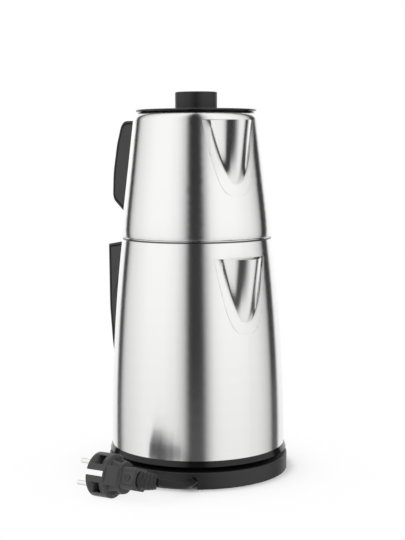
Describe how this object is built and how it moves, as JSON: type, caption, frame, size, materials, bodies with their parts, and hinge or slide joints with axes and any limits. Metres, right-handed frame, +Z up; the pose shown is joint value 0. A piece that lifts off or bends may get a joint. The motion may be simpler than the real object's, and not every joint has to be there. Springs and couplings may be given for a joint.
{
  "type": "electric tea maker",
  "caption": "Stacked electric tea maker: a steel teapot sits on a cordless steel kettle with matching beaks and black handles, on a round power base with a plugged cord.",
  "frame": {"origin": "on the pots' vertical axis, at the table under the feet", "axes": "+Z up along the pots' axis, +X towards the spouts, the handles towards -X"},
  "size_m": [0.2311, 0.226, 0.3484],
  "materials": {
    "steel": "brushed round the pot",
    "steel_bright": "finely brushed",
    "aluminium": "cast",
    "black_matte": "satin",
    "black_gloss": "gloss",
    "handle_grey": "fine grain",
    "handle_black": "satin",
    "switch_red": "satin",
    "lens": "gloss",
    "plug": "moulded",
    "cord": "satin",
    "rubber": "matte",
    "seal": "matte",
    "contact": "bright",
    "nickel": "bright",
    "fastener": "zinc plated"
  },
  "bodies": {
    "power_base": {"base_shell": "black_matte", "base_bottom_plate": "black_matte", "base_feet": "rubber", "base_screws": "fastener", "base_connector": "black_matte", "base_centre_contact": "contact", "base_ring_contact": "contact", "cord_gland": "cord", "cord_coil": "cord", "cord_lead": "cord", "plug_boot": "plug", "plug_body": "plug", "plug_pins": "nickel", "plug_earth_clips": "nickel"},
    "kettle_connector": {"kettle_socket": "black_matte", "socket_pin": "contact", "socket_ring": "contact"},
    "kettle": {"kettle_shell": "steel", "kettle_rim": "steel_bright", "kettle_spout": "steel_bright", "kettle_strainer": "steel", "kettle_skirt_ring": "black_gloss", "kettle_bottom_cover": "black_matte", "kettle_cover_screws": "fastener", "heating_plate": "steel", "plate_seal": "seal", "heat_spreader": "aluminium", "heating_element": "aluminium", "thermostat_disc": "contact", "control_bracket": "black_matte", "kettle_handle": "handle_grey", "kettle_handle_cover": "handle_black", "kettle_handle_mounts": "steel", "kettle_handle_screws": "fastener", "switch_pin": "fastener", "pilot_lens": "lens"},
    "switch": {"switch_rocker": "switch_red"},
    "teapot": {"teapot_shell": "steel", "teapot_bottom": "steel", "teapot_spout": "steel_bright", "teapot_strainer": "steel", "teapot_handle": "handle_grey", "teapot_handle_cover": "handle_black", "teapot_handle_mounts": "steel", "teapot_handle_screws": "fastener"},
    "lid": {"lid_disc": "black_gloss", "lid_skirt": "black_matte", "lid_seal": "seal", "lid_knob": "black_matte", "lid_screw": "fastener"}
  },
  "joints": [
    {"name": "kettle_lift", "type": "slide", "parent": "power_base", "child": "kettle_connector", "axis": [0, 0, 1], "range_m": [0, 0.12]},
    {"name": "kettle_swivel", "type": "hinge", "parent": "kettle_connector", "child": "kettle", "pos_m": [0, 0, 0.03], "axis": [0, 0, 1], "continuous": true},
    {"name": "switch_tip", "type": "hinge", "parent": "kettle", "child": "switch", "pos_m": [-0.12509, 0, 0.0937], "axis": [0, 1, 0], "range_deg": [0, 12]},
    {"name": "teapot_lift", "type": "slide", "parent": "kettle", "child": "teapot", "axis": [0, 0, 1], "range_m": [0, 0.1]},
    {"name": "lid_lift", "type": "slide", "parent": "teapot", "child": "lid", "axis": [0, 0, 1], "range_m": [0, 0.06]}
  ]
}
